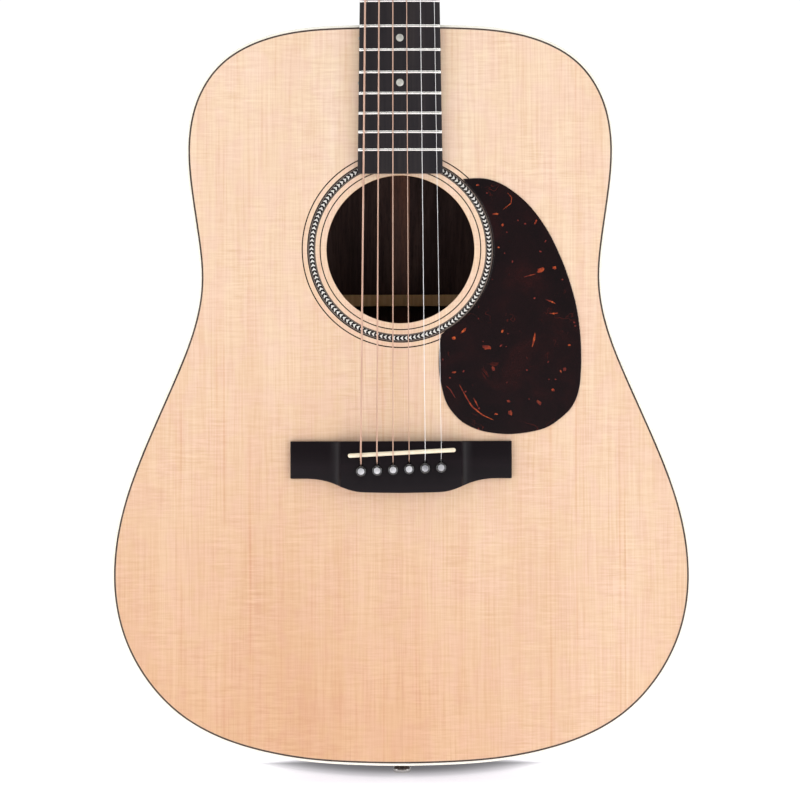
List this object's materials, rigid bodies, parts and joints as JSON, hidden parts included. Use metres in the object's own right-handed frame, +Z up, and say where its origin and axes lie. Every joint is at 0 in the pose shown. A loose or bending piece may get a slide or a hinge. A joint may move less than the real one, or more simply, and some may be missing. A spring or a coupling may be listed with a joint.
{
  "type": "acoustic guitar",
  "caption": "Steel-string acoustic guitar with a square-shouldered body, belly bridge, tear-drop pickguard, slim neck and open-geared tuners.",
  "frame": {"origin": "on the centre plane at the soundboard's front face, level with the nut's fretboard-side edge, where a wall hanger's yoke holds the neck", "axes": "+Z up the neck to the headstock, +X to the treble side, -Y out of the soundboard"},
  "size_m": [0.395, 0.1362, 1.0396],
  "materials": {
    "spruce_top": "satin natural spruce, pale cream with fine straight grain",
    "spruce_brace": "bare sanded spruce",
    "rosewood": "gloss lacquered rosewood, dark brown with near-black streaks",
    "mahogany": "satin mahogany, reddish brown with open pores",
    "ebony": "oiled ebony, nearly black",
    "maple": "bare pale wood",
    "bone": "polished bone",
    "binding": "polished white plastic binding",
    "herringbone": "black and white wood marquetry under lacquer",
    "tortoise": "polished dark red-brown tortoise pattern plastic",
    "nickel": "bright nickel plate",
    "steel": "plain steel",
    "bronze": "bright bronze wound wire",
    "black_plastic": "polished black plastic with a white dot"
  },
  "bodies": {
    "instrument": {"soundboard": "spruce_top", "rosette_ring": "herringbone", "back_plate": "rosewood", "side_treble": "rosewood", "side_bass": "rosewood", "binding_top": "binding", "binding_back": "binding", "neck_block": "mahogany", "tail_block": "mahogany", "lining_top_treble": "maple", "lining_top_bass": "maple", "lining_back_treble": "maple", "lining_back_bass": "maple", "x_brace_bass": "spruce_brace", "x_brace_treble": "spruce_brace", "transverse_brace": "spruce_brace", "tone_bar_upper": "spruce_brace", "tone_bar_lower": "spruce_brace", "bridge_plate": "maple", "back_seam_strip": "mahogany", "back_brace_1": "spruce_brace", "back_brace_2": "spruce_brace", "back_brace_3": "spruce_brace", "back_brace_4": "spruce_brace", "pickguard": "tortoise", "bridge": "ebony", "saddle": "bone", "end_pin": "nickel", "neck": "mahogany", "headplate": "rosewood", "truss_rod": "steel", "fretboard": "ebony", "nut": "bone", "tuner_plate_treble": "nickel", "tuner_plate_bass": "nickel", "string_1": "steel", "string_2": "steel", "string_3": "bronze", "string_4": "bronze", "string_5": "bronze", "string_6": "bronze"},
    "button_1": {"tuner_button_1": "nickel"},
    "post_1": {"tuner_post_1": "nickel"},
    "pin_1": {"bridge_pin_1": "black_plastic"},
    "button_2": {"tuner_button_2": "nickel"},
    "post_2": {"tuner_post_2": "nickel"},
    "pin_2": {"bridge_pin_2": "black_plastic"},
    "button_3": {"tuner_button_3": "nickel"},
    "post_3": {"tuner_post_3": "nickel"},
    "pin_3": {"bridge_pin_3": "black_plastic"},
    "button_4": {"tuner_button_4": "nickel"},
    "post_4": {"tuner_post_4": "nickel"},
    "pin_4": {"bridge_pin_4": "black_plastic"},
    "button_5": {"tuner_button_5": "nickel"},
    "post_5": {"tuner_post_5": "nickel"},
    "pin_5": {"bridge_pin_5": "black_plastic"},
    "button_6": {"tuner_button_6": "nickel"},
    "post_6": {"tuner_post_6": "nickel"},
    "pin_6": {"bridge_pin_6": "black_plastic"},
    "rod_nut": {"truss_rod_nut": "steel"}
  },
  "joints": [
    {"name": "button_1_turn", "type": "hinge", "parent": "instrument", "child": "button_1", "pos_m": [0.021, 0.03011, 0.049], "axis": [1, 0, 0], "continuous": true},
    {"name": "post_1_turn", "type": "hinge", "parent": "instrument", "child": "post_1", "pos_m": [0.021, 0.01113, 0.04653], "axis": [0, -0.9659, 0.2588], "continuous": true},
    {"name": "pin_1_pull", "type": "slide", "parent": "instrument", "child": "pin_1", "axis": [0, -1, 0], "range_m": [0, 0.025]},
    {"name": "button_2_turn", "type": "hinge", "parent": "instrument", "child": "button_2", "pos_m": [0.0225, 0.04047, 0.08764], "axis": [1, 0, 0], "continuous": true},
    {"name": "post_2_turn", "type": "hinge", "parent": "instrument", "child": "post_2", "pos_m": [0.0225, 0.02148, 0.08517], "axis": [0, -0.9659, 0.2588], "continuous": true},
    {"name": "pin_2_pull", "type": "slide", "parent": "instrument", "child": "pin_2", "axis": [0, -1, 0], "range_m": [0, 0.025]},
    {"name": "button_3_turn", "type": "hinge", "parent": "instrument", "child": "button_3", "pos_m": [0.024, 0.05082, 0.12628], "axis": [1, 0, 0], "continuous": true},
    {"name": "post_3_turn", "type": "hinge", "parent": "instrument", "child": "post_3", "pos_m": [0.024, 0.03184, 0.12381], "axis": [0, -0.9659, 0.2588], "continuous": true},
    {"name": "pin_3_pull", "type": "slide", "parent": "instrument", "child": "pin_3", "axis": [0, -1, 0], "range_m": [0, 0.025]},
    {"name": "button_4_turn", "type": "hinge", "parent": "instrument", "child": "button_4", "pos_m": [-0.024, 0.05082, 0.12628], "axis": [1, 0, 0], "continuous": true},
    {"name": "post_4_turn", "type": "hinge", "parent": "instrument", "child": "post_4", "pos_m": [-0.024, 0.03184, 0.12381], "axis": [0, -0.9659, 0.2588], "continuous": true},
    {"name": "pin_4_pull", "type": "slide", "parent": "instrument", "child": "pin_4", "axis": [0, -1, 0], "range_m": [0, 0.025]},
    {"name": "button_5_turn", "type": "hinge", "parent": "instrument", "child": "button_5", "pos_m": [-0.0225, 0.04047, 0.08764], "axis": [1, 0, 0], "continuous": true},
    {"name": "post_5_turn", "type": "hinge", "parent": "instrument", "child": "post_5", "pos_m": [-0.0225, 0.02148, 0.08517], "axis": [0, -0.9659, 0.2588], "continuous": true},
    {"name": "pin_5_pull", "type": "slide", "parent": "instrument", "child": "pin_5", "axis": [0, -1, 0], "range_m": [0, 0.025]},
    {"name": "button_6_turn", "type": "hinge", "parent": "instrument", "child": "button_6", "pos_m": [-0.021, 0.03011, 0.049], "axis": [1, 0, 0], "continuous": true},
    {"name": "post_6_turn", "type": "hinge", "parent": "instrument", "child": "post_6", "pos_m": [-0.021, 0.01113, 0.04653], "axis": [0, -0.9659, 0.2588], "continuous": true},
    {"name": "pin_6_pull", "type": "slide", "parent": "instrument", "child": "pin_6", "axis": [0, -1, 0], "range_m": [0, 0.025]},
    {"name": "rod_nut_turn", "type": "hinge", "parent": "instrument", "child": "rod_nut", "pos_m": [0, 0.0066, -0.4105], "axis": [0, 0, 1], "range_deg": [-180, 180]}
  ],
  "couplings": [
    {"joint": "post_1_turn", "follows": "button_1_turn", "ratio": 0.071429},
    {"joint": "post_2_turn", "follows": "button_2_turn", "ratio": 0.071429},
    {"joint": "post_3_turn", "follows": "button_3_turn", "ratio": 0.071429},
    {"joint": "post_4_turn", "follows": "button_4_turn", "ratio": 0.071429},
    {"joint": "post_5_turn", "follows": "button_5_turn", "ratio": 0.071429},
    {"joint": "post_6_turn", "follows": "button_6_turn", "ratio": 0.071429}
  ]
}
